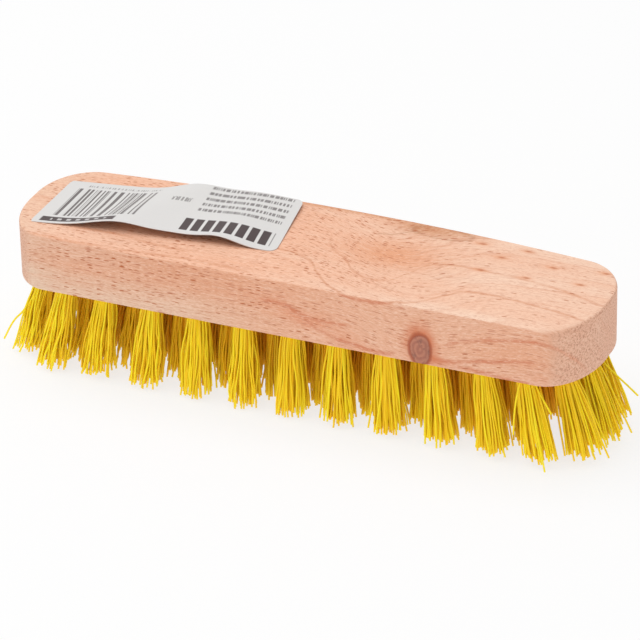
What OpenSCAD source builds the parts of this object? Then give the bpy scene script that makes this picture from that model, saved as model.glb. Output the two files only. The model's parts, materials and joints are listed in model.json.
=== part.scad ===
// Hand scrub brush. A solid softwood block is drilled with rows of blind holes. In each
// hole a tuft of stiff plastic filament is folded over a flat wire anchor that bites into
// the walls. A paper label lies on the back of the block, with air under its wrinkles.
// Sizes are millimetres. The brush stands on its cut tips on z = 0, its length runs along
// X, the straight long side faces -Y and the bowed long side faces +Y.

/* [Block] */
// Overall length of the block
block_l = 220; // [200:1:260]
// Width of the block in the middle of its length
block_w = 59; // [56:0.5:70]
// Thickness of the block
block_h = 22; // [20:0.5:30]
// How far the back side bows out in the middle, past its shoulders
side_bow = 7; // [1:0.5:9]
// Length of each rounded end
end_round = 16.5; // [12:0.5:20]
// Width of the flat left at the tip of each end
end_flat = 5.5; // [1:0.5:8]
// Sanded chamfer round the top and bottom edges
edge_ease = 0.8; // [0.4:0.1:1.6]

/* [Holes and tufts] */
// Free length of the bristles, from the block's underside to the ground
bristle_l = 34; // [24:1:55]
// Diameter of each drilled hole
hole_d = 7; // [6.4:0.1:7.6]
// Depth of each hole's wall, before the drill point
hole_depth = 14; // [12:0.5:15]
// Angle of the drill point
drill_point = 118; // [90:1:140]
// Tufts along each long side, between the shoulder tufts
side_tufts = 9; // [7:2:9]
// From the straight side to the first row
front_margin = 8; // [7:0.5:9]
// From the bowed side's middle to the last row
back_margin = 11.5; // [10:0.5:12]
// From the block's end to the shoulder tufts, which close the outer rows
shoulder_back = 22.5; // [20:0.5:24]
// From the block's end to the cheek tufts, which close the second and fourth rows
cheek_back = 11.5; // [10:0.5:13]
// From the block's end to the nose tuft, which closes the middle row
nose_back = 9; // [8:0.5:10]
// How far a cheek tuft stands out of its row towards the long side
cheek_out = 3; // [1:0.5:4]
// From a shoulder tuft to the next tuft along its row
shoulder_gap = 15.5; // [13:0.5:17]
// Outward lean of the nose tufts, which fades towards the middle of the block
end_lean = 14.5; // [0:0.5:15]
// Outward lean of the outer rows, across the block
side_lean = 2.5; // [0:0.5:3]

/* [Strands] */
// Locks of filament in each tuft, one of them in the middle
strand_count = 8; // [5:1:8]
// Thickness of a lock, across its corners
strand_w = 1.7; // [1.2:0.1:1.8]
// Neck of the tuft that stands out of the hole before the locks part
neck_l = 1.5; // [1.2:0.1:3]
// Diameter of the circle that the locks' tips lie on
tip_circle = 10.4; // [8:0.1:10.6]
// How far the shortest locks stop over the ground
uneven_cut = 2.4; // [0:0.1:4]
// Radial clearance between a tuft's folded root and its hole
root_gap = 0.1; // [0.05:0.01:0.2]

/* [Anchors] */
// Thickness of the flat anchor wire
anchor_t = 0.5; // [0.3:0.05:0.8]
// Height of the flat anchor wire, along the hole
anchor_h = 2; // [1.5:0.1:2.5]
// How far each end of the anchor bites past the hole's wall
anchor_bite = 0.5; // [0.2:0.1:0.8]
// Thickness of the filament that folds over the anchor
fold_t = 1.6; // [1.2:0.1:2]
// Clearance round the anchor in its track
anchor_gap = 0.05; // [0.02:0.01:0.1]

/* [Label] */
// Length of the paper label
label_l = 89; // [70:1:92]
// Width of the paper label
label_w = 35.5; // [28:0.5:37]
// Thickness of the paper and its glue
label_t = 0.2; // [0.15:0.01:0.3]
// Radius of the label's corners
label_r = 3; // [1:0.5:6]
// Place of the label's centre along the block, from the middle
label_x = -57.5; // [-60:0.5:-40]
// Place of the label's centre across the block
label_y = 2; // [-1:0.5:3]
// Skew of the label against the block's length
label_turn = 7; // [0:0.5:9]
// Height over the wood of the label's main wrinkle, at its front edge
wrinkle_h = 4.2; // [0.5:0.1:5]
// Height over the wood of the smaller wrinkle towards the label's inner end
inner_wrinkle_h = 3.2; // [0.5:0.1:4]

/* [Hidden] */
mid_row = 2;
row_count = 2 * mid_row + 1;
row_pitch = (block_w - front_margin - back_margin) / (row_count - 1);
shoulder_x = block_l / 2 - shoulder_back;
cheek_x = block_l / 2 - cheek_back;
nose_x = block_l / 2 - nose_back;
tuft_pitch = 2 * (shoulder_x - shoulder_gap) / (side_tufts - 1);
top_z = bristle_l + block_h;

// The rounded ends are half ellipses, with their flat tip off centre by half the bow
straight_x = block_l / 2 - end_round;
front_y = -block_w / 2;
front_semi = (block_w - side_bow) / 2;
tip_y = front_y + front_semi;
back_semi = front_semi - end_flat;
round_steps = 14;
bow_steps = 16;

root_d = hole_d - 2 * root_gap;
fold_top = hole_depth - root_gap;
anchor_z = fold_top - fold_t - anchor_h;
anchor_l = hole_d + 2 * anchor_bite;
drill_point_l = hole_d / 2 / tan(drill_point / 2);
// The locks leave the neck this far in from its wall
root_rim = 0.25;
root_ring = root_d / 2 - strand_w / 2 - root_rim;
tip_ring = tip_circle / 2;
strand_sides = 3;

// Cells of the label's surface, along and across it
label_cells = [30, 8];

cut = 1;
$fn = 48;

function tuft_xs(r) =
    let (n = side_tufts + r % 2, last = r % 2 == 1 ? cheek_x : r == mid_row ? nose_x : shoulder_x)
    concat([-last], [for (i = [0 : n - 1]) (i - (n - 1) / 2) * tuft_pitch], [last]);

function tuft_y(r, is_last) =
    front_y + front_margin + r * row_pitch + (is_last && r % 2 == 1 ? sign(r - mid_row) * cheek_out : 0);

function tuft_name(r, i) = str("tuft_row", r + 1, i < 9 ? "_0" : "_", i + 1);

// One entry a tuft: its name, place, lean along X and Y, side of the middle and its own
// seed, which it shares with the tuft opposite so that the two ends are mirror images
TUFTS = [
    for (r = [0 : row_count - 1])
        let (xs = tuft_xs(r), n = len(xs))
            for (i = [0 : n - 1])
                [
                    tuft_name(r, i),
                    [xs[i], tuft_y(r, i == 0 || i == n - 1), bristle_l],
                    sign(xs[i]) * end_lean * pow(abs(xs[i]) / nose_x, 1.8),
                    side_lean * (r - mid_row) / mid_row,
                    xs[i] < 0 ? -1 : 1,
                    40 * r + abs(2 * i - n + 1)
                ]
];

wood = [0.93, 0.77, 0.63];
bristle_yellow = [0.95, 0.80, 0.06];
anchor_steel = [0.72, 0.72, 0.74];
paper_white = [0.94, 0.94, 0.93];

function bow_y(x) = side_bow * (1 - pow(x / (block_l / 2), 2));
function back_y(x, share) = tip_y + end_flat + back_semi * share + bow_y(x);

// The block's outline: its straight side and the rounded ends, then the bowed side
function block_outline() = concat(
    [for (i = [0 : round_steps]) let (a = 90 * i / round_steps)
        [straight_x + end_round * sin(a), tip_y - front_semi * cos(a)]],
    [for (i = [round_steps : -1 : 0]) let (a = 90 * i / round_steps, x = straight_x + end_round * sin(a))
        [x, back_y(x, cos(a))]],
    [for (i = [1 : bow_steps - 1]) let (x = straight_x * (1 - 2 * i / bow_steps)) [x, back_y(x, 1)]],
    [for (i = [0 : round_steps]) let (a = 90 * i / round_steps, x = -straight_x - end_round * sin(a))
        [x, back_y(x, cos(a))]],
    [for (i = [round_steps : -1 : 0]) let (a = 90 * i / round_steps)
        [-straight_x - end_round * sin(a), tip_y - front_semi * cos(a)]]
);

// Puts its children at a tuft's hole, with +Z up the hole into the wood
module at_hole(t) {
    translate(t[1]) rotate([t[3], -t[2], 0]) children();
}

// The chamfered layer at the top or bottom of the block, one sloped face a side
module eased_edge() {
    outline = block_outline();
    n = len(outline);
    drawn_in = [1 - 2 * edge_ease / block_l, 1 - 2 * edge_ease / block_w];
    polyhedron(
        points = concat(
            [for (p = outline) [p[0], p[1], 0]],
            [for (p = outline) [p[0] * drawn_in[0], p[1] * drawn_in[1], edge_ease]]
        ),
        faces = concat(
            [[for (i = [0 : n - 1]) i]],
            [[for (i = [n - 1 : -1 : 0]) n + i]],
            [for (i = [0 : n - 1]) let (j = (i + 1) % n) each [[i, n + i, n + j], [i, n + j, j]]]
        )
    );
}

// A blind hole with its drill point, and the track that the anchor's ends cut in its wall
module drilled_hole() {
    translate([0, 0, -cut]) cylinder(d = hole_d, h = hole_depth + cut);
    translate([0, 0, hole_depth]) cylinder(r1 = hole_d / 2, r2 = 0, h = drill_point_l);
    translate([-anchor_l / 2 - anchor_gap, -anchor_t / 2 - anchor_gap, -cut])
        cube([anchor_l + 2 * anchor_gap, anchor_t + 2 * anchor_gap, anchor_z + anchor_h + anchor_gap + cut]);
}

module brush_block() {
    color(wood)
        difference() {
            union() {
                translate([0, 0, bristle_l + edge_ease])
                    linear_extrude(block_h - 2 * edge_ease) polygon(block_outline());
                translate([0, 0, top_z - edge_ease]) eased_edge();
                translate([0, 0, bristle_l + edge_ease]) mirror([0, 0, 1]) eased_edge();
            }
            for (t = TUFTS) at_hole(t) drilled_hole();
        }
}

module tuft_anchors() {
    color(anchor_steel)
        for (t = TUFTS)
            at_hole(t)
                translate([-anchor_l / 2, -anchor_t / 2, anchor_z]) cube([anchor_l, anchor_t, anchor_h]);
}

// The folded root: round in the hole, rolled over the anchor, with a slot where that passes
module folded_root() {
    roll_z = fold_top - root_d / 2;
    slot_w = anchor_t + 2 * anchor_gap;
    difference() {
        intersection() {
            translate([0, 0, -neck_l]) cylinder(d = root_d, h = fold_top + neck_l);
            union() {
                translate([-root_d, -root_d, -neck_l - cut])
                    cube([2 * root_d, 2 * root_d, roll_z + neck_l + cut]);
                translate([-root_d, 0, roll_z]) rotate([0, 90, 0]) cylinder(d = root_d, h = 2 * root_d);
            }
        }
        translate([-root_d, -slot_w / 2, anchor_z - anchor_gap])
            cube([2 * root_d, slot_w, anchor_h + 2 * anchor_gap]);
    }
}

// Centre of a lock at a height: along the tuft's lean, and outwards as the tuft opens
function lock_centre(t, z, angle, from_r, to_r) =
    let (drop = bristle_l - z, out = from_r + (to_r - from_r) * pow(drop / bristle_l, 1.3))
    [
        t[1][0] + drop * tan(t[2]) + t[4] * out * cos(angle),
        t[1][1] + drop * tan(t[3]) / cos(t[2]) + out * sin(angle),
        z
    ];

function ring_points(centre, turn, side) =
    let (first = side > 0 ? turn : 180 - turn)
    [for (c = [0 : strand_sides - 1]) let (a = first + c * 360 / strand_sides)
        centre + strand_w / 2 * [cos(a), sin(a), 0]];

// A lock runs from inside the neck to its flat cut tip, with one bend on the way
module lock(t, angle, from_r, to_r, bend, tip_z, turn) {
    centres = [
        lock_centre(t, tip_z, angle, from_r, to_r),
        lock_centre(t, bristle_l / 2, angle, from_r, to_r + bend),
        lock_centre(t, bristle_l, angle, from_r, to_r)
    ];
    n = strand_sides;
    last = len(centres) - 1;
    polyhedron(
        points = [for (c = centres) each ring_points(c, turn, t[4])],
        faces = concat(
            [[for (c = [0 : n - 1]) c]],
            [[for (c = [n - 1 : -1 : 0]) last * n + c]],
            [for (j = [0 : last - 1]) for (c = [0 : n - 1])
                each [[j * n + c, (j + 1) * n + c, (j + 1) * n + (c + 1) % n],
                      [j * n + c, (j + 1) * n + (c + 1) % n, j * n + (c + 1) % n]]]
        )
    );
}

// One lock runs down the middle of the tuft, and the others open out in a ring round it
module tuft(t) {
    outer = strand_count - 1;
    swing = rands(-6, 6, outer, t[5] + 1);
    reach = rands(-0.9, 0, outer, t[5] + 2);
    bends = rands(-0.8, 0.8, outer, t[5] + 3);
    cuts = rands(-uneven_cut, uneven_cut, strand_count, t[5] + 4);
    turns = rands(0, 120, strand_count, t[5] + 5);
    color(bristle_yellow)
        union() {
            at_hole(t) folded_root();
            for (k = [0 : outer - 1])
                lock(t, k * 360 / outer + swing[k], root_ring, tip_ring + reach[k], bends[k],
                     max(0, cuts[k]), turns[k]);
            lock(t, swing[0], 0, 0, bends[0], max(0, cuts[outer]), turns[outer]);
        }
}

function bump(x, middle, spread) = exp(-pow((x - middle) / spread, 2));

// Height of the paper over the wood, for u along the label and v across it, from 0 to 1.
// The main wrinkle runs slantwise across it, and a saddle joins it to the inner one.
function label_lift(u, v) =
    wrinkle_h * (1 - 0.3 * v) * bump(u, 0.36 + 0.19 * v, 0.17 - 0.04 * v)
    + inner_wrinkle_h * (1 - 0.2 * v) * bump(u, 0.78 + 0.02 * v, 0.11 + 0.11 * v)
    + 0.45 * wrinkle_h * (1 - v) * bump(u, 0.6, 0.12);

// Share of the way across the label at a row of cells, closer together at the corners
function label_v(j) =
    let (n = label_cells[1], arc = label_r / label_w, part = j / n)
    j <= 2 ? arc * (1 - cos(45 * j)) : j >= n - 2 ? 1 - arc * (1 - cos(45 * (n - j)))
    : arc + (1 - 2 * arc) * (j - 2) / (n - 4);

// How far the label's end draws in at a row, to round its corners
function label_inset(v) =
    let (edge = min(v, 1 - v) * label_w)
    edge >= label_r ? 0 : label_r - sqrt(label_r * label_r - pow(label_r - edge, 2));

function label_point(i, j, over) =
    let (u = i / label_cells[0], v = label_v(j), half = label_l / 2 - label_inset(v))
    [(2 * u - 1) * half, (v - 0.5) * label_w, label_lift(u, v) + over];

module paper_label() {
    nu = label_cells[0];
    nv = label_cells[1];
    layer = (nu + 1) * (nv + 1);
    top_faces = [
        for (i = [0 : nu - 1]) for (j = [0 : nv - 1])
            let (a = i * (nv + 1) + j, b = a + nv + 1)
                each [[a, a + 1, b + 1], [a, b + 1, b]]
    ];
    bottom_faces = [for (f = top_faces) [f[2] + layer, f[1] + layer, f[0] + layer]];
    rim = concat(
        [for (i = [0 : nu]) i * (nv + 1)],
        [for (j = [1 : nv]) nu * (nv + 1) + j],
        [for (i = [nu - 1 : -1 : 0]) i * (nv + 1) + nv],
        [for (j = [nv - 1 : -1 : 1]) j]
    );
    rim_faces = [
        for (k = [0 : len(rim) - 1])
            let (a = rim[k], b = rim[(k + 1) % len(rim)])
                each [[a, b, b + layer], [a, b + layer, a + layer]]
    ];
    color(paper_white)
        translate([label_x, label_y, top_z]) rotate([0, 0, label_turn])
            polyhedron(
                points = concat(
                    [for (i = [0 : nu]) for (j = [0 : nv]) label_point(i, j, label_t)],
                    [for (i = [0 : nu]) for (j = [0 : nv]) label_point(i, j, 0)]
                ),
                faces = concat(top_faces, bottom_faces, rim_faces)
            );
}

brush_block();
paper_label();
tuft_anchors();
for (t = TUFTS)
    tuft(t);
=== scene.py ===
# Hand scrub brush: the softwood block, its folded tufts of yellow filament and the paper
# label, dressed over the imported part. Helper lengths are millimetres, meshes are metres.
import json
import math

import bpy
from mathutils import Matrix, Vector
from mathutils.geometry import delaunay_2d_cdt
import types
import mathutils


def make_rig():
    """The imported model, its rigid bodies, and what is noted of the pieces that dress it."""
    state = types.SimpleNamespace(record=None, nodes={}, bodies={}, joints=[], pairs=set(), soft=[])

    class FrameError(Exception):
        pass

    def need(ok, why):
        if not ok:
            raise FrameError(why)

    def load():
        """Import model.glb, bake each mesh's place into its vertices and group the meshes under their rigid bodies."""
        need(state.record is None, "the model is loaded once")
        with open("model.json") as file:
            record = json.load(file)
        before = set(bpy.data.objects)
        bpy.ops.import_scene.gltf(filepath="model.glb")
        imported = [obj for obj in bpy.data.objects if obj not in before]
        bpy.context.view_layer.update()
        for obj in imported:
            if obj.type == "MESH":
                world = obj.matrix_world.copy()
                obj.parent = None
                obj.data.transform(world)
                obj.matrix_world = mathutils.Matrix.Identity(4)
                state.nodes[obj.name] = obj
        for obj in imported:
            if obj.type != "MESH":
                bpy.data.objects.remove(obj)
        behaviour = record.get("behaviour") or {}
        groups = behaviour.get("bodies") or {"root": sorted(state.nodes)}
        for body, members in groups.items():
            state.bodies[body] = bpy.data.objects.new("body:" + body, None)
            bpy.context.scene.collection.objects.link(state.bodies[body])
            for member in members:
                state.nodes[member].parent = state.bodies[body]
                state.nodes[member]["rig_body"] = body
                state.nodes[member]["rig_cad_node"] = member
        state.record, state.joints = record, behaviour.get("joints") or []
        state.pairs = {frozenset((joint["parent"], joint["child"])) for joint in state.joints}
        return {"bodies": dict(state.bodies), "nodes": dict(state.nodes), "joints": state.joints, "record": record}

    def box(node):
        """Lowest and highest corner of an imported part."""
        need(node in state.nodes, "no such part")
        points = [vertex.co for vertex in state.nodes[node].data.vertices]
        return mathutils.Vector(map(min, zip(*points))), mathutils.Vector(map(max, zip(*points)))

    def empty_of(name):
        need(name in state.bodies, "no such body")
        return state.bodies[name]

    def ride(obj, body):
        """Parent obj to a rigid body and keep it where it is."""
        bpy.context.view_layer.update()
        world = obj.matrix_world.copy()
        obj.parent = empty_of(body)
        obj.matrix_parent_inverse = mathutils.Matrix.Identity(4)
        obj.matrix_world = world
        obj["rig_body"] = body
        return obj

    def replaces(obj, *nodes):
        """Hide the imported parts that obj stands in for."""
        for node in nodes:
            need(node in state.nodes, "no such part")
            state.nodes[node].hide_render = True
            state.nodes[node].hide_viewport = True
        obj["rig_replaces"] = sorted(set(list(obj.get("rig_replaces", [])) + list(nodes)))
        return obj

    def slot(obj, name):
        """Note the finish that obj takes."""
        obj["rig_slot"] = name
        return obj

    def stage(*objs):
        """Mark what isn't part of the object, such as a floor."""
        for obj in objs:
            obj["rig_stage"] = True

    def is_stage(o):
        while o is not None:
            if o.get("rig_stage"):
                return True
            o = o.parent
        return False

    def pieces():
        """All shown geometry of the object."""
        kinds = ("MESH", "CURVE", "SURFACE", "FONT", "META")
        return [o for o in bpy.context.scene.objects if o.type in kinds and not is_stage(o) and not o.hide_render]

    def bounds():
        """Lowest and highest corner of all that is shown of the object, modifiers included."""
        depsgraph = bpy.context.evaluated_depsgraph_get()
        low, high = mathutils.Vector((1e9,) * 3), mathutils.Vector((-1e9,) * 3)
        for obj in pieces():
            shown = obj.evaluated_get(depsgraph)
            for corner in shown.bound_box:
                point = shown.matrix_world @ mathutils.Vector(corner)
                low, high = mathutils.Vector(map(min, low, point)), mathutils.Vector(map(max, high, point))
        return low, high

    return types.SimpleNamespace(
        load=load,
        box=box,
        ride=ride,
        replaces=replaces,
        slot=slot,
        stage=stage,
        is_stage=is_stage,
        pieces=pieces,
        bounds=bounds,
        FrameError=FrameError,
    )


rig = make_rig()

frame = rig.load()
cad_low, cad_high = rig.bounds()
block_low, block_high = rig.box("brush_block")

bl_info = {
    "name": "Scrub brush",
    "version": (1, 0, 0),
    "blender": (4, 5, 0),
    "location": "3D View > Sidebar > Scrub brush",
    "description": "Builds a wooden scrub brush with folded filament tufts and a paper label",
    "category": "Object",
}

MM = 0.001


# Colours and numbers
def srgb(red, green, blue):
    """A colour as it looks on screen, 0 to 255, turned into Blender's linear values."""
    def linear(value):
        part = value / 255
        return part / 12.92 if part <= 0.04045 else ((part + 0.055) / 1.055) ** 2.4

    return (linear(red), linear(green), linear(blue))


def opaque(colour):
    return (colour[0], colour[1], colour[2], 1.0)


# Node trees written as sums
def sign(operation, swapped=False):
    """A sign between two values, which adds a node for them."""
    def act(wire, other):
        return wire.net.math(operation, *((other, wire) if swapped else (wire, other)))

    return act


class Wire:
    """One output of a node, which can be added, multiplied and compared."""

    __add__ = sign("ADD")
    __radd__ = sign("ADD", True)
    __sub__ = sign("SUBTRACT")
    __rsub__ = sign("SUBTRACT", True)
    __mul__ = sign("MULTIPLY")
    __rmul__ = sign("MULTIPLY", True)
    __truediv__ = sign("DIVIDE")
    __pow__ = sign("POWER")
    __lt__ = sign("LESS_THAN")
    __gt__ = sign("GREATER_THAN")

    def __init__(self, net, socket):
        self.net = net
        self.socket = socket

    def __neg__(self):
        return self * -1.0

    def __abs__(self):
        return self.net.math("ABSOLUTE", self)


class Made:
    """A node whose outputs are read by name."""

    def __init__(self, net, node):
        self.net = net
        self.node = node

    def __getitem__(self, name):
        return Wire(self.net, self.node.outputs[name])


class Net:
    """Adds nodes to one tree."""

    def __init__(self, tree):
        self.tree = tree

    def add(self, kind, values=None, **settings):
        """Adds a node. Values go into its input sockets and settings onto the node itself."""
        node = self.tree.nodes.new(kind)
        for name, value in settings.items():
            setattr(node, name, value)
        for name, value in (values or {}).items():
            self.feed(node.inputs[name], value)
        return Made(self, node)

    def feed(self, socket, value):
        if isinstance(value, Wire):
            self.tree.links.new(value.socket, socket)
        else:
            socket.default_value = value

    def math(self, operation, *values):
        return self.add("ShaderNodeMath", dict(enumerate(values)), operation=operation)["Value"]

    def limit(self, value):
        """The value held between 0 and 1."""
        made = self.add("ShaderNodeMath", {0: value, 1: 0.0}, operation="ADD", use_clamp=True)
        return made["Value"]

    def vector(self, operation, *values):
        made = self.add("ShaderNodeVectorMath", dict(enumerate(values)), operation=operation)
        return made["Value" if operation in ("DOT_PRODUCT", "LENGTH") else "Vector"]

    def join(self, x, y, z):
        return self.add("ShaderNodeCombineXYZ", {"X": x, "Y": y, "Z": z})["Vector"]

    def split(self, vector):
        made = self.add("ShaderNodeSeparateXYZ", {"Vector": vector})
        return made["X"], made["Y"], made["Z"]

    def smooth(self, value, low, high):
        """0 below low, 1 above high, and an even curve between them."""
        values = {"Value": value, "From Min": low, "From Max": high, "To Min": 0.0, "To Max": 1.0}
        return self.add("ShaderNodeMapRange", values, interpolation_type="SMOOTHSTEP")["Result"]

    def fade(self, value, low, high):
        """1 below low, 0 above high, and an even curve between them."""
        return 1.0 - self.smooth(value, low, high)

    def band(self, value, low, full, fading, high):
        """0 below low, 1 from full to fading, and 0 again above high."""
        return self.smooth(value, low, full) * self.fade(value, fading, high)

    def colours(self, factor, first, second):
        """The first colour at 0 and below, the second at 1 and above, and mixed between."""
        values = {0: factor, 6: self.paint(first), 7: self.paint(second)}
        made = self.add("ShaderNodeMix", values, data_type="RGBA", clamp_factor=True)
        return Wire(self, made.node.outputs[2])

    def paint(self, colour):
        return colour if isinstance(colour, Wire) else opaque(colour)

    def noise(self, vector, spread, detail=2.0, roughness=0.5):
        """Cloudy values round 0.5, spread by so many clouds a unit along each axis."""
        spread = self.vector("MULTIPLY", vector, spread)
        values = {"Vector": spread, "Scale": 1.0, "Detail": detail, "Roughness": roughness}
        return self.add("ShaderNodeTexNoise", values)["Fac"]

    def blob(self, vector, centre, reach):
        """1 at a centre, fading to 0 past its reach along each axis."""
        away = self.vector("SUBTRACT", vector, centre)
        share = self.vector("DIVIDE", away, reach)
        return self.math("EXPONENT", -self.vector("DOT_PRODUCT", share, share))


class Coat:
    """A colour built up in layers."""

    def __init__(self, net, colour):
        self.net = net
        self.colour = colour

    def lay(self, weight, colour):
        self.colour = self.net.colours(weight, self.colour, colour)


def clear_tree(owner):
    """An empty node tree on a new material or world."""
    owner.use_nodes = True
    owner.node_tree.nodes.clear()
    return Net(owner.node_tree)


def new_material(name):
    material = bpy.data.materials.new(name)
    return material, clear_tree(material)


def finish_material(net, values, relief, distance, strength):
    """Feeds one plastic, wood or metal shader, with relief as height in shares of a distance."""
    bump = net.add("ShaderNodeBump", {"Height": relief, "Distance": distance, "Strength": strength})
    shader = net.add("ShaderNodeBsdfPrincipled", dict(values, Normal=bump["Normal"]))
    net.add("ShaderNodeOutputMaterial", {"Surface": shader["BSDF"]})


# Sizes and finishes that a user would change
def number(name, description, default, low, high, unit=1.0, subtype="NONE"):
    """A number, written and limited in its own unit."""
    return bpy.props.FloatProperty(
        name=name, description=description, default=default * unit, min=low * unit,
        max=high * unit, precision=4, subtype=subtype,
    )


def size_mm(*given):
    return number(*given, MM, "DISTANCE")


def degrees(*given):
    return number(*given, math.radians(1), "ANGLE")


def tint(name, description, *colour):
    """A colour, written as it looks on screen, 0 to 255."""
    return bpy.props.FloatVectorProperty(
        name=name, description=description, default=srgb(*colour), min=0.0, max=1.0, size=3,
        subtype="COLOR",
    )


class BlockSizes(bpy.types.PropertyGroup):
    side_bow: size_mm("Side bow", "How far the back side bows out past its shoulders", 7, 0, 9)
    end_round: size_mm("End round", "Length of each rounded end", 16.5, 12, 20)
    end_flat: size_mm("End flat", "Width of the flat left at the tip of each end", 5.5, 0, 8)
    edge_round: size_mm("Edge rounding", "Radius that sandpaper left on the edges", 1.1, 0.4, 2)
    worn_round: size_mm(
        "Worn corner rounding", "Radius where the near side turns into the right end", 2.6, 0.4, 4
    )
    hole: size_mm("Hole", "Diameter of each tuft hole", 7, 6.4, 7.6)
    hole_depth: size_mm("Hole depth", "Depth of a hole's wall, before the drill point", 14, 12, 15)


class WoodFinish(bpy.types.PropertyGroup):
    pale: tint("Pale wood", "Colour of the softest wood", 246, 212, 188)
    salmon: tint("Salmon wood", "Colour of the warmer bands", 239, 180, 147)
    ring: tint("Growth ring", "Colour of the hard late wood", 205, 138, 104)
    fleck: tint("Fleck", "Colour of the open resin canals", 184, 98, 52)
    knot: tint("Knot", "Colour of the knot's dark rings", 140, 78, 68)
    ring_gap: size_mm("Ring gap", "Distance from one growth ring to the next", 7.65, 2, 12)


class TuftSizes(bpy.types.PropertyGroup):
    hairpins: bpy.props.IntProperty(
        name="Hairpins", description="Filaments folded over each anchor, each with two strands",
        default=44, min=10, max=60,
    )
    filament: size_mm("Filament", "Thickness of one filament", 0.68, 0.3, 1.2)
    tip_circle: size_mm("Tip circle", "Diameter of the circle that most tips lie in", 13.3, 7, 15)
    uneven_cut: size_mm("Uneven cut", "How far short strands stop over the ground", 3.8, 0, 6)
    wave: size_mm("Wave", "Sideways wave of a strand on its way to its tip", 0.3, 0, 2)
    end_lean: degrees("End lean", "Outward lean of the nose tufts, fading to the middle", 14.5, 0, 15)
    side_lean: degrees("Side lean", "Outward lean of the outer rows", 2.5, 0, 3)
    seed: bpy.props.IntProperty(
        name="Seed", description="Changes how the strands fall", default=4, min=0, max=999,
    )


class BristleFinish(bpy.types.PropertyGroup):
    bright: tint("Bright filament", "Colour of the lighter filaments", 255, 238, 22)
    deep: tint("Deep filament", "Colour of the darker filaments", 255, 203, 4)
    # Painted shade: the orange laid where the packed tufts shade each other near the block
    root: tint("Root filament", "Colour where the tufts stand packed", 255, 172, 3)


class LabelSizes(bpy.types.PropertyGroup):
    length: size_mm("Length", "Length of the paper label", 89, 70, 92)
    width: size_mm("Width", "Width of the paper label", 35.5, 28, 37)
    corner: size_mm("Corner", "Radius of the label's corners", 3, 1, 6)
    thickness: size_mm("Thickness", "Thickness of the paper and its glue", 0.2, 0.1, 0.3)
    wrinkle: size_mm("Main wrinkle", "Height of the main wrinkle at the front edge", 4.2, 0, 5)
    inner_wrinkle: size_mm(
        "Inner wrinkle", "Height of the wrinkle towards the inner end", 3.2, 0, 4
    )


class LabelFinish(bpy.types.PropertyGroup):
    paper: tint("Paper", "Colour of the bare paper", 215, 213, 211)
    print: tint("Print", "Colour of the plain printed bars", 52, 32, 32)


class StageSettings(bpy.types.PropertyGroup):
    sky: number("Room light", "Strength of the even light from all round", 0.56, 0, 2)
    key: number("Key light", "Power of the large soft lamp, in watts", 18, 0, 200)
    fill: number("Fill light", "Power of the lamp in front of the near side", 0.9, 0, 200)


class ScrubBrush(bpy.types.PropertyGroup):
    block: bpy.props.PointerProperty(type=BlockSizes)
    wood: bpy.props.PointerProperty(type=WoodFinish)
    tuft: bpy.props.PointerProperty(type=TuftSizes)
    bristle: bpy.props.PointerProperty(type=BristleFinish)
    label: bpy.props.PointerProperty(type=LabelSizes)
    label_finish: bpy.props.PointerProperty(type=LabelFinish)
    stage: bpy.props.PointerProperty(type=StageSettings)


# The block's plan and its tuft places, as the part has them
BLOCK_L = (block_high.x - block_low.x) / MM
FRONT_Y = block_low.y / MM
BLOCK_W = (block_high.y - block_low.y) / MM
UNDER_Z = block_low.z / MM
TOP_Z = block_high.z / MM
ROWS = (11, 12, 11, 12, 11)
TUFT_PITCH = 18.0
# Each row's last hole along the block, the outer rows' distance in from the long sides, and how
# far the nose holes of rows 2 and 4 stand out of their row
LAST_X = (87.5, 98.5, 101.0, 98.5, 87.5)
NEAR_ROW_IN = 8.0
FAR_ROW_IN = 11.5
NOSE_SHIFT = 3.0
# How fast the lean grows from the middle to the nose
LEAN_POWER = 1.8


def block_plan(sizes, round_steps=26, long_steps=72):
    """The block's outline, anticlockwise from the straight side's right shoulder."""
    bow = sizes.side_bow / MM
    end = sizes.end_round / MM
    flat = sizes.end_flat / MM
    straight_x = BLOCK_L / 2 - end
    front_semi = (BLOCK_W - bow) / 2
    tip_y = FRONT_Y + front_semi
    back_semi = front_semi - flat

    def back_y(x, share):
        return tip_y + flat + back_semi * share + bow * (1 - (x / (BLOCK_L / 2)) ** 2)

    turns = [math.pi / 2 * i / round_steps for i in range(round_steps + 1)]
    right_front = [
        (straight_x + end * math.sin(a), tip_y - front_semi * math.cos(a)) for a in turns
    ]
    right_back = [
        (straight_x + end * math.sin(a), back_y(straight_x + end * math.sin(a), math.cos(a)))
        for a in reversed(turns)
    ]
    along = [straight_x * (1 - 2 * i / long_steps) for i in range(1, long_steps)]
    back = [(x, back_y(x, 1)) for x in along]
    left_back = [(-x, y) for x, y in reversed(right_back)]
    left_front = [(-x, y) for x, y in reversed(right_front)]
    front = [(-x, FRONT_Y) for x in along]
    return right_front + right_back + back + left_back + left_front + front


def tuft_places(sizes):
    """Every tuft's node name, mouth centre and lean along X and Y, row by row."""
    end_lean = math.degrees(sizes.end_lean)
    side_lean = math.degrees(sizes.side_lean)
    pitch_y = (BLOCK_W - NEAR_ROW_IN - FAR_ROW_IN) / 4
    rows = []
    for r, count in enumerate(ROWS):
        inner = [(i - (count - 3) / 2) * TUFT_PITCH for i in range(count - 2)]
        row = []
        for i, x in enumerate([-LAST_X[r]] + inner + [LAST_X[r]]):
            at_end = i in (0, count - 1) and r % 2 == 1
            y = FRONT_Y + NEAR_ROW_IN + r * pitch_y
            y += math.copysign(NOSE_SHIFT, r - 2) if at_end else 0.0
            lean_x = math.copysign(end_lean * (abs(x) / max(LAST_X)) ** LEAN_POWER, x) if x else 0.0
            name = f"tuft_row{r + 1}_{i + 1:02d}"
            row.append((name, (x, y), math.radians(lean_x), math.radians(side_lean * (r - 2) / 2)))
        rows.append(row)
    return rows


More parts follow.
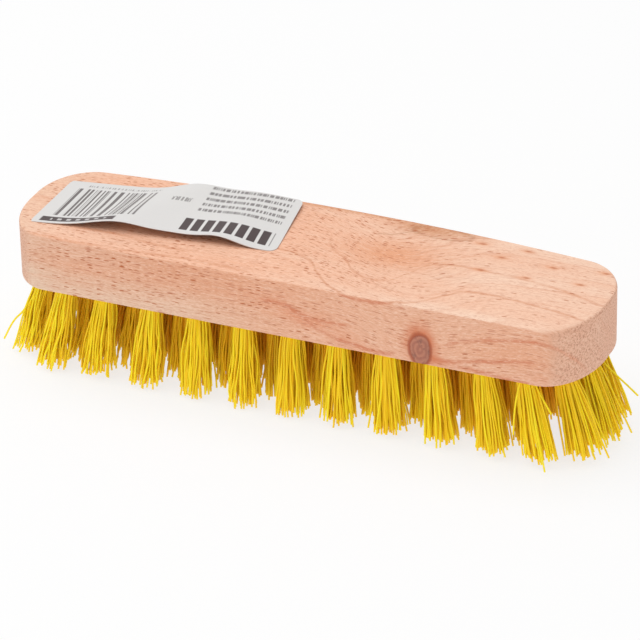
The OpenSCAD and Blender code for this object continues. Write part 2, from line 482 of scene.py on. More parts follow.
def lean_matrix(lean_x, lean_y):
    """Turns a hole's own axes, +Z up into the wood, to where the hole leans."""
    return Matrix.Rotation(-lean_x, 3, "Y") @ Matrix.Rotation(lean_y, 3, "X")


# Mesh helpers
def put(name, data):
    """An object in the scene."""
    piece = bpy.data.objects.new(name, data)
    bpy.context.scene.collection.objects.link(piece)
    return piece


def piece_from(name, points, faces, material):
    """A mesh object from points in millimetres."""
    mesh = bpy.data.meshes.new(name)
    mesh.from_pydata([tuple(c * MM for c in p) for p in points], [], faces)
    mesh.validate()
    mesh.update()
    mesh.materials.append(material)
    mesh.shade_smooth()
    return put(name, mesh)


def ring_strip(first, second):
    """Faces between two rings of the same number of points, given as point numbers."""
    n = len(first)
    return [(first[i], first[(i + 1) % n], second[(i + 1) % n], second[i]) for i in range(n)]


# The wooden block
# Lines of the grain that the photograph shows, as distance along the block and round it: up
# the near side to 56 mm, then over the back
GROWTH_LINES = (
    (
        (-12, 78.2), (-1.8, 76.4), (9.7, 65.8), (19.2, 57.8), (28.8, 54.6), (43.4, 57.0),
        (56.7, 67.5), (63.4, 72.9), (74.3, 73.3), (93.4, 70.9), (106, 68),
    ),
    (
        (2.4, 98.3), (6, 86), (14.6, 78.8), (22.0, 71.4), (30.1, 69.1), (38, 77), (47.8, 88.5),
        (64.4, 88.9), (86.8, 86.5), (109.5, 79.5),
    ),
    (
        (60.3, 42.7), (65.9, 45.6), (76.8, 48.3), (88.3, 50.4), (96.2, 51.2), (103.3, 51.0),
        (107.7, 49.2),
    ),
    ((62.8, 37.2), (68.9, 38.6), (78.1, 40.4), (87.2, 42.2), (94.4, 43.2)),
    (
        (0.5, 48.0), (6.9, 44.3), (16.2, 38.9), (25.6, 36.9), (34.9, 35.7), (40.5, 35.9),
        (43.0, 38.5),
    ),
    ((54.5, 38.5), (60.0, 37.2), (66.0, 37.6)),
    ((64.6, 36.0), (73.8, 35.6), (88.4, 34.6), (94.0, 35.2)),
    ((-8.0, 47.8), (1.3, 47.1), (9.0, 44.4), (17.0, 43.4), (26.0, 44.0)),
    ((-98.0, 57.6), (-80.0, 56.6), (-60.0, 57.2), (-32.0, 59.2), (-12.0, 58.4)),
    ((-84.0, 66.2), (-71.0, 67.2), (-54.5, 65.3), (-38.5, 64.3)),
)
LINE_REACH = 1.3
# The dark loop at the far edge of the back, an ellipse with an arm that leads to it
LOOP_MIDDLE = (38.3, 109.5)
LOOP_SEMI = (11.0, 3.9)
LOOP_ARM = ((15.3, 98.5), (17.0, 101.0), (22.2, 102.5), (27.1, 106.5), (29.5, 109.0))
LOOP_ARM_REACH = 1.1
RESIN_MARKS = (
    (54.5, 21.9), (64.4, 14.8), (71.4, 22.4), (83.8, 14.2), (77.7, 3.9), (96.8, 6.0), (102.3, 16.8),
    (61.0, 3.6),
)
# The heart of the tree, in front of the board, and the branch that left the knot
HEART = (-45.0, 16.0)
BRANCH_START = (52.0, -29.5, 39.6)
BRANCH_WAY = (-24.0, 36.0, 16.4)
BRANCH_PUSH = 19.0
BRANCH_REACH = 20.0
# The knot on the near side, and how far it shifts for each millimetre into the wood
KNOT_MIDDLE = (51.8, 39.6)
KNOT_SEMI = (4.1, 6.3)
KNOT_SHIFT = (0.667, 0.456)
# Share of a growth ring that shifts all rings, and fine lines in each ring
RING_START = 0.843
FINE_LINES = 4.6
ORANGE_WOOD = srgb(226, 150, 104)


def grain_line(net, x, height, points, reach):
    """1 on a smooth line through points that run from left to right, fading to 0 past its reach."""
    left, right = points[0][0], points[-1][0]
    low = min(h for _, h in points)
    tall = max(h for _, h in points) - low
    made = net.add("ShaderNodeFloatCurve", {"Value": net.limit((x - left) / (right - left))})
    curve = made.node.mapping.curves[0]
    for spot, (px, ph) in enumerate(points):
        place = ((px - left) / (right - left), (ph - low) / tall)
        if spot in (0, len(points) - 1):
            curve.points[0 if spot == 0 else -1].location = place
        else:
            curve.points.new(*place)
    made.node.mapping.update()
    apart = abs(height - low - made["Value"] * tall)
    ends = net.band(x, left - 1.0, left + 3.0, right - 3.0, right + 1.0)
    return net.fade(apart, 0.0, reach) * ends


def dashes(net, x, across, cell, half, amount, salt):
    """Short marks along the grain, at most one in each cell, sized in millimetres."""
    chart = net.join(x / cell[0] + salt, across / cell[1], 0.0)
    found = {"Vector": chart, "Scale": 1.0}
    found = net.add("ShaderNodeTexVoronoi", found, voronoi_dimensions="2D")
    chance, spread, _ = net.split(found["Color"])
    off = net.vector("SUBTRACT", chart, found["Position"])
    off = net.vector("MULTIPLY", off, (cell[0] / half[0], cell[1] / half[1], 0.0))
    reach = net.vector("LENGTH", off) / (0.6 + 0.6 * spread)
    return net.fade(reach, 0.55, 1.0) * (chance < amount)


def wood_material(finish):
    material, net = new_material("sanded softwood")
    smooth, fade, band, noise, blob = net.smooth, net.fade, net.band, net.noise, net.blob
    coordinates = net.add("ShaderNodeTexCoord")
    p = net.vector("MULTIPLY", coordinates["Object"], (1000, 1000, 1000))
    x, y, z = net.split(p)
    facing_x, _, facing_z = net.split(coordinates["Normal"])
    end_face = smooth(abs(facing_x), 0.35, 0.75)
    back_face = smooth(facing_z, 0.4, 0.8)

    # Distance from the heart of the tree
    drift = noise(p, (0.016, 0.05, 0.05))
    trunk = net.vector("LENGTH", net.join(0.0, y - HEART[0] + 9.0 * (drift - 0.5), z - HEART[1]))

    # Distance from the branch, and how far it pushed the grain out
    off = net.vector("SUBTRACT", p, BRANCH_START)
    run = net.vector("DOT_PRODUCT", off, tuple(Vector(BRANCH_WAY).normalized()))
    square = net.vector("DOT_PRODUCT", off, off) - run * run
    wobble = noise(p, (0.12, 0.12, 0.12))
    branch = net.math("SQRT", net.math("MAXIMUM", square, 0.01)) + 3.0 * (wobble - 0.5)
    push = BRANCH_PUSH * net.math("EXPONENT", -((branch / BRANCH_REACH) ** 2.0))
    grain = trunk + push

    # The surface rolled out flat: up the near side, over the back and down the far side
    front_half = (y < 0.0) * 2.0 - 1.0
    round_block = y + (TOP_Z - FRONT_Y) + (z - TOP_Z) * front_half
    across = round_block + push * (0.25 + 0.5 * smooth(round_block, 50.0, 66.0))

    # Growth rings: pale early wood that darkens into a sharp late line
    gap = finish.ring_gap / MM
    turn = net.math("FRACT", grain / gap - RING_START)
    line = band(turn, 0.80, 0.97, 0.97, 1.0)
    shade = band(turn, 0.35, 1.0, 0.96, 1.0)
    faint = noise(p, (0.03, 0.11, 0.11), 1.0)
    fine_turn = net.math("FRACT", grain / (gap / FINE_LINES) + 2.0 * faint)
    fine = band(fine_turn, 0.55, 0.9, 0.9, 1.0)

    # Wide patches of warmer and paler wood, and painted shade on the sides
    coat = Coat(net, finish.pale)
    lay = coat.lay
    patches = noise(p, (0.011, 0.06, 0.06), 2.5)
    warm_left = fade(x, -60.0, 70.0)
    lay(smooth(patches, 0.32, 0.68) * 0.5 + warm_left * 0.6, finish.salmon)
    glow = blob(p, (29.0, 3.0, TOP_Z), (19.0, 10.0, 20.0))
    side_glow = blob(p, (82.0, FRONT_Y, 45.4), (17.0, 10.0, 4.2))
    lay(glow * 0.85 + side_glow * 0.4, ORANGE_WOOD)
    far_y = 29.5 - (x / 110.0) ** 2.0 * 7.0
    far_edge = smooth(y - far_y, -4.5, -0.5) * band(x, -30.0, -8.0, 44.0, 62.0)
    lay(far_edge * 0.85, srgb(204, 138, 92))
    loop_patch = blob(p, (33.0, 25.5, TOP_Z), (12.0, 5.0, 8.0))
    lay(loop_patch * (0.6 + wobble), srgb(200, 136, 92))
    flame = blob(net.join(x, y, z + 0.24 * x), (8.0, FRONT_Y, 45.5), (17.0, 6.0, 4.4))
    lay(flame * (wobble * 2.2 - 0.35), srgb(226, 140, 108))
    # Painted shade: the sides warmer and darker than the top, fading out towards the left end
    warm_side_shade = (1.0 - back_face) * smooth(x, -95.0, -25.0) * (1.0 - end_face)
    lay(warm_side_shade * (0.3 + 0.5 * faint), srgb(234, 160, 120))
    low_left = fade(z, 37.0, 48.0) * fade(x, -50.0, 20.0)
    lay(fade(x, -108.0, -80.0) * 0.5 + low_left * 0.7, srgb(232, 206, 182))
    lay(shade * (0.06 + 0.3 * faint), finish.salmon)
    lay(line * 0.3 * smooth(faint, 0.4, 0.7), finish.ring)
    lay(fine * 0.12, finish.ring)

    # Painted shade: the sides a little darker than the top, more on the ends and towards the upper left
    upper_left = fade(x, -40.0, 20.0) * smooth(z, 40.0, 46.0)
    painted_side_shade = (1.0 - back_face) * (0.13 + 0.14 * end_face + 0.07 * upper_left)
    lay(painted_side_shade, srgb(150, 96, 66))
    # Painted shade: the left end face greyer and darker
    lay(fade(facing_x, -0.8, -0.5) * 0.2, srgb(150, 150, 146))

    # The growth lines and the dark loop that stand out most
    height = round_block + 1.2 * (noise(p, (0.3, 0.3, 0.3)) - 0.5)
    line_colour = net.colours(back_face, srgb(204, 118, 80), srgb(206, 132, 90))
    for points in GROWTH_LINES:
        shown = grain_line(net, x, height, points, LINE_REACH) * (0.95 * wobble - 0.05)
        lay(shown * (1.7 - 0.6 * back_face), line_colour)
    loop_x = (x - LOOP_MIDDLE[0]) / LOOP_SEMI[0]
    loop_y = (height - LOOP_MIDDLE[1]) / LOOP_SEMI[1]
    loop = fade(abs(net.math("SQRT", loop_x * loop_x + loop_y * loop_y) - 1.0), 0.0, 0.24)
    arm = grain_line(net, x, height, LOOP_ARM, LOOP_ARM_REACH)
    lay(loop * (0.9 * wobble - 0.05) + arm * 0.4, srgb(164, 104, 62))

    # Long fibres, and the short broken ones between them
    fibre = noise(net.join(x, across, grain), (0.1, 1.9, 0.2), 3.0, 0.6)
    short = noise(net.join(x, across, 0.0), (0.55, 3.2, 0.0), 2.0, 0.7)
    along = 1.0 - end_face
    lay(smooth(fibre, 0.5, 0.72) * 0.34 * along, finish.ring)
    lay(fade(fibre, 0.27, 0.5) * 0.4 * along, finish.pale)
    lay(smooth(short, 0.49, 0.68) * 0.5 * along, finish.ring)
    lay(fade(short, 0.32, 0.49) * 0.5 * along, finish.pale)

    # Resin canals: short dark dashes along the grain, thick on the left, scarce on the right
    crowd = noise(p, (0.03, 0.07, 0.07), 1.5)
    left = fade(x, 30.0, 60.0) * (0.36 * smooth(z, 35.0, 42.0) + 0.1 * back_face)
    swirl = blob(p, (22.0, -8.0, TOP_Z), (26.0, 17.0, 9.0)) * 0.42
    amount = left * smooth(crowd, 0.3, 0.6) + 0.05 + swirl * smooth(wobble, 0.42, 0.6)
    dash = dashes(net, x, across, (3.1, 1.35), (1.25, 0.25), amount, 0.0) * along
    hair = dashes(net, x, across, (4.6, 0.9), (2.2, 0.2), 0.12 + 0.3 * crowd, 7.3) * along
    lay(hair * (0.75 - 0.35 * back_face), srgb(194, 122, 90))
    lay(dash * net.limit(1.5 * wobble), finish.fleck)
    marks = halos = 0.0
    for mx, my in RESIN_MARKS:
        marks = marks + blob(p, (mx, my, TOP_Z), (1.4, 0.6, 6.0))
        halos = halos + blob(p, (mx - 0.6, my, TOP_Z), (3.0, 1.4, 6.0))
    lay(halos * 0.5, ORANGE_WOOD)
    lay(marks * 0.75, finish.fleck)

    # End grain: fine dark specks
    speck = noise(p, (0.9, 1.5, 1.5), 2.0, 0.7)
    lay(end_face * 0.6, srgb(228, 172, 142))
    lay(smooth(speck, 0.5, 0.64) * end_face * 0.6, srgb(168, 110, 84))
    lay(fade(speck, 0.34, 0.46) * end_face * 0.4, finish.pale)

    # The knot, taller than wide, and the red wood round it on the near side
    inward = y - FRONT_Y
    knot_x = (x - KNOT_MIDDLE[0] + inward * KNOT_SHIFT[0]) / KNOT_SEMI[0]
    knot_z = (z - KNOT_MIDDLE[1] - inward * KNOT_SHIFT[1]) / KNOT_SEMI[1]
    rough_wood = noise(p, (0.55, 0.55, 0.4), 3.0, 0.65)
    apart = net.math("SQRT", knot_x * knot_x + knot_z * knot_z + 0.0001)
    apart = apart + 0.3 * (wobble - 0.5) + 0.3 * (rough_wood - 0.5)
    near = fade(inward, 6.0, 12.0)
    rings = 0.5 + 0.5 * net.math("SINE", apart * 17.0 + 7.0 * wobble)
    core = fade(apart, 0.93, 1.03) * near
    rim = band(apart, 0.82, 0.98, 1.02, 1.24) * near
    over_knot = net.limit(0.7 + 0.1 * knot_x + 0.4 * knot_z)
    red = fade(apart, 0.9, 2.1) * near * over_knot * (0.2 + 1.6 * rough_wood)
    streak = blob(p, (59.0, FRONT_Y, 36.6), (4.5, 6.0, 1.7))
    lay(red * 0.95 + streak * 0.6, srgb(208, 124, 86))
    heartwood = Coat(net, srgb(184, 122, 98))
    heartwood.lay(rings * 0.45, finish.knot)
    cracks = smooth(rough_wood, 0.52, 0.66) * 0.55 + smooth(knot_x, 0.1, 0.9) * 0.3
    heartwood.lay(cracks, srgb(122, 84, 74))
    lay(core, heartwood.colour)
    lay(rim * 0.75, srgb(160, 74, 44))

    # Fine relief of fibres and canals, dull where the canals open
    relief = 0.35 * fibre + 0.25 * fine + 0.2 * line - 0.8 * dash - 0.3 * speck * end_face
    rough = 0.58 + 0.16 * fibre + 0.1 * dash
    values = {"Base Color": coat.colour, "Roughness": rough, "Specular IOR Level": 0.35}
    finish_material(net, values, relief, 0.0003, 0.5)
    return material


# Rings of the sanded edges and of the side, sides of a hole, the ease of its mouth outwards and
# inwards, and the drill's point angle
ROUND_RINGS = 7
SIDE_RINGS = 7
HOLE_SIDES = 24
MOUTH_EASE = 0.35
MOUTH_DEPTH = 0.4
DRILL_POINT = math.radians(118)
# Where the near side turns into the right end, and how far its wear reaches
WORN_CORNER = (97, -26)
WORN_REACH = (13, 9)


def block_mesh(sizes, tufts):
    """Points and faces of the block: rounded edges, flat faces and a drilled underside."""
    plan = [Vector(p) for p in block_plan(sizes)]
    n = len(plan)
    outward = []
    for i in range(n):
        along = plan[(i + 1) % n] - plan[i - 1]
        outward.append(Vector((along.y, -along.x)).normalized())
    edge = sizes.edge_round / MM
    worn = sizes.worn_round / MM
    low = edge * 0.85
    points = []
    faces = []
    rings = []

    def top_round(p):
        away = [(p[k] - WORN_CORNER[k]) / WORN_REACH[k] for k in range(2)]
        return edge + (worn - edge) * math.exp(-away[0] ** 2 - away[1] ** 2)

    quarter = [math.pi / 2 * k / (ROUND_RINGS - 1) for k in range(ROUND_RINGS)]
    levels = [("top", a) for a in quarter]
    levels += [("side", (k + 1) / (SIDE_RINGS + 1)) for k in range(SIDE_RINGS)]
    levels += [("under", a) for a in reversed(quarter)]
    for kind, value in levels:
        ring = []
        for p, out in zip(plan, outward):
            high = top_round(p)
            if kind == "top":
                inset, z = high * (1 - math.sin(value)), TOP_Z - high * (1 - math.cos(value))
            elif kind == "side":
                inset, z = 0.0, TOP_Z - high + value * (UNDER_Z + low - TOP_Z + high)
            else:
                inset, z = low * (1 - math.sin(value)), UNDER_Z + low * (1 - math.cos(value))
            flat = p - out * inset
            ring.append(len(points))
            points.append((flat.x, flat.y, z))
        rings.append(ring)
    for upper, lower in zip(rings, rings[1:]):
        faces += ring_strip(lower, upper)
    faces.append(tuple(rings[0]))

    # Drilled holes: an eased mouth, the wall and the drill point
    radius = sizes.hole / MM / 2
    depth = sizes.hole_depth / MM
    point_l = radius / math.tan(DRILL_POINT / 2)
    mouths = []
    for _, (cx, cy), lean_x, lean_y in tufts:
        turn = lean_matrix(lean_x, lean_y)
        circle = []
        for size, deep in ((radius + MOUTH_EASE, 0.0), (radius, MOUTH_DEPTH), (radius, depth)):
            ring = []
            for k in range(HOLE_SIDES):
                a = 2 * math.pi * k / HOLE_SIDES
                local = Vector((size * math.cos(a), size * math.sin(a), deep))
                if deep < depth:
                    sloped = turn[2][0] * local.x + turn[2][1] * local.y
                    local.z = (deep - sloped) / turn[2][2]
                ring.append(len(points))
                points.append(tuple(Vector((cx, cy, UNDER_Z)) + turn @ local))
            circle.append(ring)
        tip = len(points)
        points.append(tuple(Vector((cx, cy, UNDER_Z)) + turn @ Vector((0, 0, depth + point_l))))
        faces += ring_strip(circle[0], circle[1])
        faces += ring_strip(circle[1], circle[2])
        last = circle[2]
        faces += [(last[k], last[(k + 1) % HOLE_SIDES], tip) for k in range(HOLE_SIDES)]
        mouths.append(circle[0])

    # The underside, cut round the holes
    flat_ids = list(rings[-1])
    edges = [(i, (i + 1) % n) for i in range(n)]
    for mouth in mouths:
        first = len(flat_ids)
        flat_ids += mouth
        edges += [(first + k, first + (k + 1) % HOLE_SIDES) for k in range(HOLE_SIDES)]
    flat = [Vector(points[i][:2]) for i in flat_ids]
    cut = delaunay_2d_cdt(flat, edges, [], 1, 1e-6)
    centres = [Vector(place) for _, place, _, _ in tufts]
    for face in cut[2]:
        middle = sum((cut[0][i] for i in face), Vector((0, 0))) / len(face)
        if any((middle - c).length < radius + 0.2 for c in centres):
            continue
        ids = [flat_ids[cut[3][i][0]] for i in face]
        faces.append(tuple(reversed(ids)))
    return points, faces


class BRUSH_OT_block(bpy.types.Operator):
    """Builds the drilled softwood block over its CAD solid"""

    bl_idname = "brush.block"
    bl_label = "Wooden block"

    def execute(self, context):
        brush = context.scene.scrub_brush
        tufts = [t for row in tuft_places(brush.tuft) for t in row]
        points, faces = block_mesh(brush.block, tufts)
        piece = piece_from("wooden_block", points, faces, wood_material(brush.wood))
        piece.data.set_sharp_from_angle(angle=math.radians(38))
        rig.ride(piece, "root")
        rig.replaces(piece, "brush_block")
        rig.slot(piece, "wood_block")
        return {"FINISHED"}


# The tufts of folded filament
# The circle that the strands fill in a hole, and the depth of their folds
ROOT_RADIUS = 3.05
FOLD_DEPTH = 10.5
# Half of an anchor's thickness with a little room, and the height of the fold's arch over it
ANCHOR_HALF = 0.28
ARCH_RISE = 2.15
# Steps from the top of a fold to the tip of a strand, and those of them in the arch
STRAND_STEPS = 12
ARCH_STEPS = 3
# Turn from one strand to the next that packs them like sunflower seeds
SUNFLOWER_TURN = 0.763932
# Locks round a tuft, how far out they lie, and how much further the right end's tips spread
OUTER_LOCKS = 7
LOCK_REACH = 0.68
RIGHT_END_SPREAD = 0.38


def bristle_material(finish):
    material, net = new_material("yellow filament")
    coordinates = net.add("ShaderNodeTexCoord")
    place = coordinates["Object"]
    x, y, z = net.split(net.vector("MULTIPLY", place, (1000, 1000, 1000)))
    # Each strand's tone: random, lowered by painted shade at the tuft's core
    tone_and_core_shade = net.add("ShaderNodeAttribute", attribute_name="filament_tone_and_core_shade")["Fac"]
    streak = net.noise(place, (900, 900, 60), 1.0)
    coat = Coat(net, finish.deep)
    coat.lay(tone_and_core_shade * 0.8 + streak * 0.3, finish.bright)

    # Painted shade: the filaments deepen to orange near the block in the inner rows and where they face the middle of
    # the brush, in the shade between the packed tufts
    inner = net.band(y, -26.0, -4.0, 8.0, 22.0) * net.fade(abs(x), 92.0, 104.0)
    _, facing_y, _ = net.split(coordinates["Normal"])
    facing_in_shade = net.smooth(-facing_y * net.math("SIGN", y), -0.1, 0.6)
    facing_in_shade = facing_in_shade * net.fade(abs(x), 97.0, 105.0)
    inner = net.math("MAXIMUM", inner * 0.9, facing_in_shade)
    coat.lay(net.smooth(z, -8.0, 22.0) * inner, finish.root)
    values = {
        "Base Color": coat.colour, "Roughness": 0.36 + 0.16 * streak, "IOR": 1.49,
        "Specular IOR Level": 0.35, "Sheen Weight": 0.9, "Sheen Tint": (1.0, 0.78, 0.03, 1.0),
        "Sheen Roughness": 0.5,
    }
    finish_material(net, values, streak, 0.00005, 0.4)
    return material


def tuft_values(sizes):
    """What the geometry nodes are given, with lengths in millimetres."""
    return {
        "Hairpins": sizes.hairpins,
        "Filament": sizes.filament / MM,
        "Root Radius": ROOT_RADIUS,
        "Tip Radius": sizes.tip_circle / MM / 2,
        "Free Length": UNDER_Z,
        "Fold Depth": FOLD_DEPTH,
        "Uneven Cut": sizes.uneven_cut / MM,
        "Wave": sizes.wave / MM,
        "Seed": sizes.seed,
    }


def tuft_tree(material, values):
    """Geometry nodes that fold hairpins of filament over the anchors and splay their strands."""
    tree = bpy.data.node_groups.new("Folded tufts", "GeometryNodeTree")
    tree.interface.new_socket("Geometry", in_out="INPUT", socket_type="NodeSocketGeometry")
    for name, value in values.items():
        kind = "NodeSocketInt" if isinstance(value, int) else "NodeSocketFloat"
        tree.interface.new_socket(name, in_out="INPUT", socket_type=kind).default_value = value
    tree.interface.new_socket("Geometry", in_out="OUTPUT", socket_type="NodeSocketGeometry")
    net = Net(tree)
    given = net.add("NodeGroupInput")

    def store(geometry, name, value):
        values = {"Geometry": geometry, "Name": name, "Value": value}
        kind = "GeometryNodeStoreNamedAttribute"
        return net.add(kind, values, data_type="FLOAT", domain="POINT")["Geometry"]

    def stored(name, kind="FLOAT"):
        made = net.add("GeometryNodeInputNamedAttribute", {"Name": name}, data_type=kind)
        return made["Attribute"]

    # One straight line a hairpin, at every tuft's mouth
    mouths = net.add("GeometryNodeMeshToPoints", {"Mesh": given["Geometry"]})["Points"]
    copies = {"Geometry": mouths, "Amount": given["Hairpins"]}
    copies = net.add("GeometryNodeDuplicateElements", copies, domain="POINT")
    points = store(copies["Geometry"], "hairpin", copies["Duplicate Index"])
    points = store(points, "strand_key", net.add("GeometryNodeInputIndex")["Index"])
    line = net.add("GeometryNodeCurvePrimitiveLine", {"End": (0.0, 0.0, 1.0)})["Curve"]
    line = {"Curve": line, "Count": 2 * STRAND_STEPS + 1}
    line = net.add("GeometryNodeResampleCurve", line)["Curve"]
    lines = net.add("GeometryNodeInstanceOnPoints", {"Points": points, "Instance": line})
    lines = net.add("GeometryNodeRealizeInstances", {"Geometry": lines["Instances"]})["Geometry"]

    hairpin = stored("hairpin")
    key = stored("strand_key")
    rx, ry, rz = net.split(stored("tuft_root", "FLOAT_VECTOR"))
    lean_x, lean_y, _ = net.split(stored("tuft_lean", "FLOAT_VECTOR"))
    step = net.add("GeometryNodeSplineParameter")["Index"] - float(STRAND_STEPS)
    far_side = step > 0.0
    side = far_side * 2.0 - 1.0
    away = abs(step)

    def chance(salt, low=0.0, high=1.0):
        """An even draw between low and high for every strand."""
        draw = {"Min": low, "Max": high, "ID": key * 2.0 + far_side}
        draw["Seed"] = given["Seed"] + float(salt)
        return net.add("FunctionNodeRandomValue", draw, data_type="FLOAT")["Value"]

    # Where each strand leaves the hole: sunflower packing, with its pair across the anchor
    reach = given["Root Radius"] * net.math("SQRT", (hairpin + 0.5) / given["Hairpins"])
    angle = net.math("FRACT", hairpin * SUNFLOWER_TURN) * math.pi
    root_x = reach * net.math("COSINE", angle)
    clear = ANCHOR_HALF + given["Filament"] / 2.0
    half_y = clear + reach * net.math("SINE", angle) * ((ROOT_RADIUS - clear) / ROOT_RADIUS)

    # The fold: a flattened arch over the anchor, from its top to its foot
    arch = net.math("MINIMUM", away / float(ARCH_STEPS), 1.0) * (math.pi / 2)
    fold_y = half_y * net.math("SINE", arch) * side
    rise = (ARCH_RISE + 0.33 * half_y) * net.math("COSINE", arch)
    in_hole = net.math("MINIMUM", net.math("MAXIMUM", away - float(ARCH_STEPS), 0.0), 1.0)
    foot = ARCH_STEPS + 1.0
    free = net.math("MAXIMUM", (away - foot) / (STRAND_STEPS - foot), 0.0)

    # Each tip: the root spread out, drawn into locks, with its own small error
    tip_angle = net.math("ARCTAN2", half_y * side, root_x) + chance(1, -0.16, 0.16)
    tip_reach = reach * (given["Tip Radius"] / given["Root Radius"]) * chance(2, 0.82, 1.12)
    tip_reach = tip_reach * (1.0 + (chance(3) < 0.05) * chance(4, 0.15, 0.5))
    tip_x = tip_reach * net.math("COSINE", tip_angle)
    tip_x = tip_x * (1.0 + RIGHT_END_SPREAD * (tip_x > 0.0) * net.smooth(rx, 84.0, 98.0))
    tip_y = tip_reach * net.math("SINE", tip_angle)
    lock_turn = 2 * math.pi / OUTER_LOCKS
    lock_angle = (net.math("FLOOR", tip_angle / lock_turn) + 0.5) * lock_turn
    lock_reach = LOCK_REACH * given["Tip Radius"] * net.smooth(reach, 1.2, 1.6)
    gather = chance(5, 0.05, 0.5)
    tip_x = tip_x + gather * (lock_reach * net.math("COSINE", lock_angle) - tip_x)
    tip_y = tip_y + gather * (lock_reach * net.math("SINE", lock_angle) - tip_y)

    # The cut: most tips near the ground, and a few well short of it
    cut = given["Uneven Cut"] * chance(6) ** 0.7
    slope = net.math("SQRT", 1.0 + lean_x * lean_x)
    fall = (given["Free Length"] - cut - 0.2) / slope - net.math("MAXIMUM", rx, 0.0) * 0.01
    down = free * fall - given["Fold Depth"] * (1.0 - in_hole) - rise

    # The wave that each strand keeps from being folded, weaker towards the right end
    sway = given["Wave"] * net.math("MINIMUM", free * 3.0, 1.0)
    sway = sway * (1.25 - rx * 0.006) * (0.6 + 0.8 * free)

    def wave(salt):
        turn = free * 7.0 * chance(salt, 0.6, 1.4) + chance(salt + 1, 0.0, 6.283)
        return sway * net.math("SINE", turn) * chance(salt + 2, 0.2, 1.5)

    splay = free ** 0.72
    across = root_x + (tip_x - root_x) * splay + wave(7) + down * lean_x
    over = fold_y + (tip_y - fold_y) * splay + wave(10) + down * lean_y
    where = net.vector("MULTIPLY", net.join(rx + across, ry + over, rz - down), (MM, MM, MM))
    bent = net.add("GeometryNodeSetPosition", {"Geometry": lines, "Position": where})["Geometry"]
    # Painted shade: strands near a tuft's core get a lower tone, which takes the deeper colour
    core_shade_factor = 0.25 + 0.75 * net.smooth(reach / given["Root Radius"], 0.45, 0.85)
    toned = store(bent, "filament_tone_and_core_shade", chance(13) * core_shade_factor)

    # Five-sided filament
    ring = {"Resolution": 5, "Radius": given["Filament"] * (MM / 2)}
    ring = net.add("GeometryNodeCurvePrimitiveCircle", ring)["Curve"]
    solid = {"Curve": toned, "Profile Curve": ring, "Fill Caps": True}
    solid = net.add("GeometryNodeCurveToMesh", solid)["Mesh"]
    solid = net.add("GeometryNodeSetShadeSmooth", {"Geometry": solid})["Geometry"]
    solid = {"Geometry": solid, "Material": material}
    solid = net.add("GeometryNodeSetMaterial", solid)["Geometry"]
    net.add("NodeGroupOutput", {"Geometry": solid})
    return tree


def plain_mesh(piece, name):
    """What a piece's modifiers or its curve make, as a mesh of its own without materials."""
    graph = bpy.context.evaluated_depsgraph_get()
    mesh = bpy.data.meshes.new_from_object(piece.evaluated_get(graph))
    mesh.name = name
    mesh.materials.clear()
    return mesh


class BRUSH_OT_tufts(bpy.types.Operator):
    """Folds and splays the yellow filament of all five rows of tufts"""

    bl_idname = "brush.tufts"
    bl_label = "Filament tufts"

    def execute(self, context):
        brush = context.scene.scrub_brush
        material = bristle_material(brush.bristle)
        values = tuft_values(brush.tuft)
        tree = tuft_tree(material, values)
        sockets = {s.name: s.identifier for s in tree.interface.items_tree if s.in_out == "INPUT"}
        for r, row in enumerate(tuft_places(brush.tuft)):
            mesh = bpy.data.meshes.new(f"tuft_row{r + 1}_mouths")
            mesh.from_pydata([(x * MM, y * MM, UNDER_Z * MM) for _, (x, y), _, _ in row], [], [])
            roots = mesh.attributes.new("tuft_root", "FLOAT_VECTOR", "POINT")
            leans = mesh.attributes.new("tuft_lean", "FLOAT_VECTOR", "POINT")
            for i, (_, (x, y), lean_x, lean_y) in enumerate(row):
                roots.data[i].vector = (x, y, UNDER_Z)
                leans.data[i].vector = (math.tan(lean_x), math.tan(lean_y) / math.cos(lean_x), 0.0)
            name = f"filament_tufts_row{r + 1}"
            piece = put(name, mesh)
            modifier = piece.modifiers.new("Folded tufts", "NODES")
            modifier.node_group = tree
            for wanted, value in dict(values, Seed=values["Seed"] + 20 * r).items():
                modifier[sockets[wanted]] = value
            context.view_layer.update()
            folded = plain_mesh(piece, name)
            piece.modifiers.clear()
            piece.data = folded
            folded.materials.append(material)
            if len(folded.polygons) < 1000:
                raise RuntimeError(f"row {r + 1} has no filaments")
            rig.ride(piece, "root")
            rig.replaces(piece, *[t[0] for t in row])
            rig.slot(piece, "bristle_plastic")
        return {"FINISHED"}


# Loose filaments that stand off the end tufts, each from its root to its tip
STRAYS = (
    (
        (-99.6, -16.5, 35.0), (-102.3, -18.0, 26.3), (-108.0, -18.0, 17.0), (-111.8, -18.0, 12.5),
        (-116.4, -18.0, 4.0),
    ),
    (
        (100.3, 9.4, 35.0), (104.7, 8.6, 26.0), (108.8, 10.0, 21.0), (112.3, 12.5, 16.0),
        (115.5, 14.0, 12.0),
    ),
    ((89.6, -23.4, 35.0), (92.8, -24.6, 30.4), (96.2, -26.4, 26.7), (99.1, -27.4, 23.1)),
    ((87.4, -24.2, 35.0), (86.6, -26.4, 30.0), (85.6, -27.2, 22.0), (85.0, -27.0, 12.0)),
)


